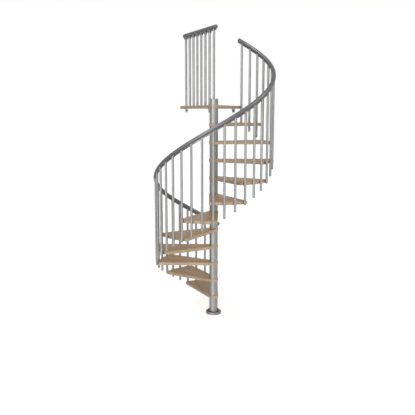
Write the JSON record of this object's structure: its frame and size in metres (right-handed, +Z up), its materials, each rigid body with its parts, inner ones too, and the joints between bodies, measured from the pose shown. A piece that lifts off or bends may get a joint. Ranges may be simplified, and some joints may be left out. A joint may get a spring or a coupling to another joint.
{
  "type": "spiral staircase",
  "caption": "Spiral staircase with wooden treads on a steel column, round bars, a helical handrail and a landing platform with a guard rail.",
  "frame": {"origin": "on the floor, on the column's axis, at the middle of the base flange's underside", "axes": "+Z up along the column; the stair climbs anticlockwise about +Z seen from above, from a first tread towards +Y by way of -X, -Y and +X to a platform towards +Y"},
  "size_m": [1.438, 1.5072, 3.453],
  "materials": {
    "steel": "satin",
    "wood": "satin",
    "rail": "satin",
    "fitting": "matte"
  },
  "bodies": {
    "root": {"base_flange": "steel", "centre_pole": "steel", "column_spacer_01": "steel", "column_spacer_02": "steel", "column_spacer_03": "steel", "column_spacer_04": "steel", "column_spacer_05": "steel", "column_spacer_06": "steel", "column_spacer_07": "steel", "column_spacer_08": "steel", "column_spacer_09": "steel", "column_spacer_10": "steel", "column_spacer_11": "steel", "column_spacer_12": "steel", "column_cap": "steel", "balusters_01": "steel", "balusters_02": "steel", "balusters_03": "steel", "balusters_04": "steel", "balusters_05": "steel", "balusters_06": "steel", "balusters_07": "steel", "balusters_08": "steel", "balusters_09": "steel", "balusters_10": "steel", "balusters_11": "steel", "guard_balusters": "steel", "platform_brackets": "steel", "tread_01": "wood", "tread_02": "wood", "tread_03": "wood", "tread_04": "wood", "tread_05": "wood", "tread_06": "wood", "tread_07": "wood", "tread_08": "wood", "tread_09": "wood", "tread_10": "wood", "tread_11": "wood", "platform": "wood", "handrail_section_1": "rail", "handrail_section_2": "rail", "guard_rail": "rail", "rail_caps": "fitting", "bar_bushes": "fitting"}
  },
  "joints": []
}
